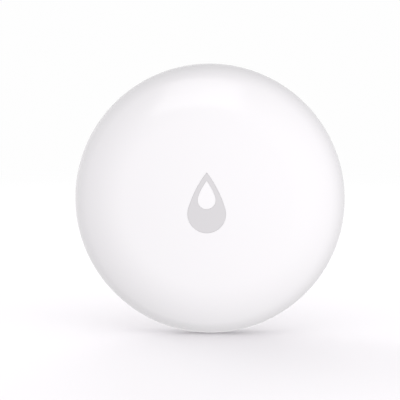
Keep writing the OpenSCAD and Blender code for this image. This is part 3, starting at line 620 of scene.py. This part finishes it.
last = line_to(section, last, (MOUTH_R, PARTING_Z), (MOUTH_R, SNAP_LOW), (SNAP_R, SNAP_LOW),
               (SNAP_R, SNAP_HIGH), (MOUTH_R, SNAP_HIGH), (MOUTH_R, mouth_top))
mouth_lean = math.degrees(math.asin((MOUTH_R - SHOULDER_X) / inner_r))
last = arc_to(section, last, SHOULDER_X, EQUATOR_Z, BROW_LEAN - mouth_lean, 8)
last = arc_to(section, last, BROW_X, BROW_Z, FACE_LEAN - BROW_LEAN, 12)
last = arc_to(section, last, 0, DOME_Z, dome_angle(COLLAR_R, DOME_R - WALL) - FACE_LEAN, 8)
last = line_to(section, last, (COLLAR_R, COLLAR_Z), (COLLAR_IN_R, COLLAR_Z), (COLLAR_IN_R, SEAT_Z))
ease(section, [(OPENING_R, dome_height(OPENING_R))], OPENING_EDGE)
ease(section, [(rim_r, PARTING_Z)], RIM_EDGE)
top = turned(section)
for v in top.verts:
    r, angle = polar(v)
    if r < ROUND_AGAIN_R - WELD:
        edge = drop_reach(angle, DROP_W, DROP_SIDE_R, DROP_Y, DROP_GAP)
        new_r = edge + (r - OPENING_R) * (ROUND_AGAIN_R - edge) / (ROUND_AGAIN_R - OPENING_R)
        put(v, new_r, angle)
        if v.co.z > (SEAT_Z + WALL / 2) * MM:
            v.co.z += (dome_height(new_r) - dome_height(r)) * MM
fitted("domed_top", top, white_abs, "housing", "shell_white", "top_shell")

# Drop button: a pale grey ABS key in the shape of a water drop, flush with the
# dome. Its flange rests under the shell, and the light window is let into it.
FLANGE_Z, FLANGE_TOP, FLANGE_REACH = 11.95, 12.75, 1.0
WINDOW_W, WINDOW_SIDE_R, WINDOW_Y, WINDOW_GAP = 3.3, 9.0, 0.505, 0.02
DROP_EDGE, EDGE_RING, ON_DOME = 0.015, 0.04, 20.0
KEY_RINGS = [1.1 + 0.08 * i for i in range(11)]


def to_drops(mesh, outlines):
    """Spreads rings of radius 0, 1, 2 and so on to outlines.

    What was drawn at the height ON_DOME, above the whole body, is laid on the dome.
    """
    for v in mesh.verts:
        r, angle = polar(v)
        low = min(int(r + WELD), len(outlines) - 2)
        inner, outer = outlines[low](angle), outlines[low + 1](angle)
        new_r = inner + (r - low) * (outer - inner)
        put(v, new_r, angle)
        if v.co.z > (ON_DOME - 1) * MM:
            v.co.z += (dome_height(new_r) - ON_DOME) * MM
    bmesh.ops.recalc_face_normals(mesh, faces=mesh.faces)
    return mesh


outlines = [lambda a: 0.0,
            lambda a: drop_reach(a, WINDOW_W, WINDOW_SIDE_R, WINDOW_Y, WINDOW_GAP),
            lambda a: drop_reach(a, DROP_W, DROP_SIDE_R, DROP_Y),
            lambda a: drop_reach(a, DROP_W, DROP_SIDE_R, DROP_Y, FLANGE_REACH)]
section, last = begin(1, FLANGE_Z)
last = line_to(section, last, (1, ON_DOME), (1 + EDGE_RING, ON_DOME),
               *[(ring, ON_DOME) for ring in KEY_RINGS], (2 - EDGE_RING, ON_DOME), (2, ON_DOME),
               (2, FLANGE_TOP), (3, FLANGE_TOP), (3, FLANGE_Z))
ease(section, [(1, ON_DOME), (2, ON_DOME)], DROP_EDGE)
key_grey = moulded_plastic("pale_grey_abs", (0.665, 0.645, 0.666), (0.655, 0.635, 0.657), 0.24)
fitted("drop_key", to_drops(turned(section), outlines), key_grey, "button", "key_grey",
       "drop_button")

# Light window: a small drop of milky plastic pressed into the button, which
# glows when the status light on the board is lit.
WINDOW_RINGS = [0.1 * i for i in range(1, 10)]
window_outlines = [outlines[0], lambda a: drop_reach(a, WINDOW_W, WINDOW_SIDE_R, WINDOW_Y)]
section, last = begin(0, ON_DOME)
last = line_to(section, last, *[(ring, ON_DOME) for ring in WINDOW_RINGS], (1 - EDGE_RING, ON_DOME),
               (1, ON_DOME), (1, FLANGE_Z), (0, FLANGE_Z))
ease(section, [(1, ON_DOME)], DROP_EDGE)
milky = moulded_plastic("milky_window", (0.9, 0.88, 0.903), (0.887, 0.867, 0.89), 0.22)
fitted("light_window", to_drops(turned(section, closed=False), window_outlines), milky, "button",
       "window_white", "drop_window")

# Floor: a white card that the sensor stands on edge upon for its picture, and
# that runs on evenly into the white behind it. It shows only from its front,
# so it never hides the sensor from behind.
CARD_LIT, CARD_WHITE = (0.72, 0.704, 0.723, 1), 0.99
CARD_GAP, CARD_HALF = 0.02, 2.5
SHADOW_NEAR, SHADOW_END = 0.12, 0.35
card = Finish("white_card")
place = card.add("ShaderNodeTexCoord", output="Object")
axes = card.add("ShaderNodeSeparateXYZ", {}, {"Vector": place})
away = axes.out("X") * axes.out("X") + axes.out("Z") * axes.out("Z")
away = away.math("SQRT", away)
fade = card.add("ShaderNodeMapRange", {"interpolation_type": "SMOOTHSTEP"},
                {"Value": away, "From Min": SHADOW_NEAR, "From Max": SHADOW_END})
near = card.add("ShaderNodeBsdfDiffuse", {}, {"Color": CARD_LIT})
plain = card.add("ShaderNodeEmission", {}, {"Color": (1, 1, 1, 1), "Strength": CARD_WHITE})
front = card.add("ShaderNodeMixShader", {}, {0: fade, 1: near, 2: plain})
behind = card.add("ShaderNodeNewGeometry", output="Backfacing")
clear = card.add("ShaderNodeBsdfTransparent")
seen = card.add("ShaderNodeMixShader", {}, {0: behind, 1: front, 2: clear})
card.add("ShaderNodeOutputMaterial", {}, {"Surface": seen})
mesh = bmesh.new()
flat = Matrix.Rotation(math.radians(-90), 4, "X")
under = Matrix.Translation((0, -(BODY_R + CARD_GAP) * MM, 0))
bmesh.ops.create_grid(mesh, x_segments=1, y_segments=1, size=CARD_HALF, matrix=under @ flat)
floor = as_object("floor", mesh)
floor.data.materials.append(card.owner)
floor.visible_diffuse = floor.visible_glossy = floor.visible_transmission = False
floor.visible_shadow = False

# Light: a white studio, brightest in front and to the right, with its white
# backdrop behind, and a softbox above the face that draws the long highlight on
# it. The gloss sees a plain white room, and three lamps light the floor alone.
ROOM, SOFTNESS = 0.24, 8
ROOM_LIGHT = (((0, 0.13, 1), 1.44), ((1, 0, 1), 1.26), ((-1, 0, -1), 1.83), ((0.5, 0, -1), 0.3))
ABOVE, BOX_W, BOX_H, BOX_FAR, BOX_APART = (-0.12, 0.767, 0.63), 0.41, 0.42, 0.6, 0.01
BOX_ON_MATT, BOX_ON_GLOSS = 0.2, 1.5
TOP_LAMP = {"distance": 1.0, "width": 5.0, "height": 5.0}
BACK_LAMP = {"distance": 1.5, "width": 0.7, "height": 0.7}
world = bpy.data.worlds.new("white_room")
bpy.context.scene.world = world
room = Finish("white_room", world)
way_in = room.add("ShaderNodeTexCoord", output="Generated")
level = ROOM
for direction, brightness in ROOM_LIGHT:
    facing = room.add("ShaderNodeVectorMath", {"operation": "DOT_PRODUCT"},
                      {0: way_in, 1: Vector(direction).normalized()}, output="Value") * 0.5 + 0.5
    level = level + brightness * facing.math("POWER", facing, SOFTNESS)
rays = room.add("ShaderNodeLightPath")
plain = rays.math("MAXIMUM", rays.out("Is Camera Ray"), rays.out("Is Glossy Ray"))
plain = plain.math("MAXIMUM", plain, rays.out("Is Transmission Ray"))
strength = level + plain * (1 - level)
shader = room.add("ShaderNodeBackground", {}, {"Color": (1, 1, 1, 1), "Strength": strength})
room.add("ShaderNodeOutputWorld", {}, {"Surface": shader})


def aimed(direction):
    """The turn of a lamp or camera that stands in a direction and looks back along it."""
    back = Vector(direction).normalized()
    right = Vector((0, 1, 0)).cross(back).normalized()
    return Matrix((right, back.cross(right), back)).transposed().to_4x4()


def softbox(name, direction, distance, width, height, radiance):
    """A flat lamp facing the sensor, with an even brightness over its front."""
    lamp = bpy.data.lights.new(name, "AREA")
    lamp.shape, lamp.size, lamp.size_y = "RECTANGLE", width, height
    lamp.energy = radiance * math.pi * width * height
    held = bpy.data.objects.new(name, lamp)
    bpy.context.scene.collection.objects.link(held)
    held.matrix_world = aimed(direction) @ Matrix.Translation((0, 0, distance))
    held.visible_camera = False
    return held


matt_box = softbox("overhead_box", ABOVE, BOX_FAR + BOX_APART, BOX_W, BOX_H, BOX_ON_MATT)
matt_box.visible_glossy = False
gloss_box = softbox("overhead_gloss", ABOVE, BOX_FAR, BOX_W, BOX_H, BOX_ON_GLOSS)
gloss_box.visible_diffuse = False
lit_floor = bpy.data.collections.new("lit_floor")
lit_floor.objects.link(floor)
for lamp in (softbox("floor_top", direction=(0, 1, 0.001), radiance=0.71, **TOP_LAMP),
             softbox("floor_back", direction=(0, 0.27, -1), radiance=6.25, **BACK_LAMP),
             softbox("floor_back_left", direction=(-0.59, 0.27, -0.81), radiance=4.05, **BACK_LAMP)):
    lamp.light_linking.receiver_collection = lit_floor

# Camera: a long lens, a little above the axis of the disc and to its right. The
# disc stands a little to the right of the middle of the picture.
FOCAL_PX, IMAGE_PX, FAR = 3238.0, 400.0, 0.6
FROM_RIGHT, FROM_ABOVE = math.radians(3.8), math.radians(5.3)
DISC_RIGHT_PX, DISC_UP_PX = 9.73, 1.53
camera_data = bpy.data.cameras.new("camera")
camera_data.sensor_fit, camera_data.sensor_width = "HORIZONTAL", 36.0
camera_data.lens = camera_data.sensor_width * FOCAL_PX / IMAGE_PX
camera_data.clip_start, camera_data.clip_end = 0.01, 20.0
camera = bpy.data.objects.new("camera", camera_data)
bpy.context.scene.collection.objects.link(camera)
per_px = FAR / FOCAL_PX
view = aimed((math.sin(FROM_RIGHT), math.sin(FROM_ABOVE), 1))
shift = Matrix.Translation((-DISC_RIGHT_PX * per_px, -DISC_UP_PX * per_px, FAR))
camera.matrix_world = Matrix.Translation((0, 0, EQUATOR_Z * MM)) @ view @ shift
bpy.context.scene.camera = camera
bpy.context.scene.view_settings.view_transform = "Standard"
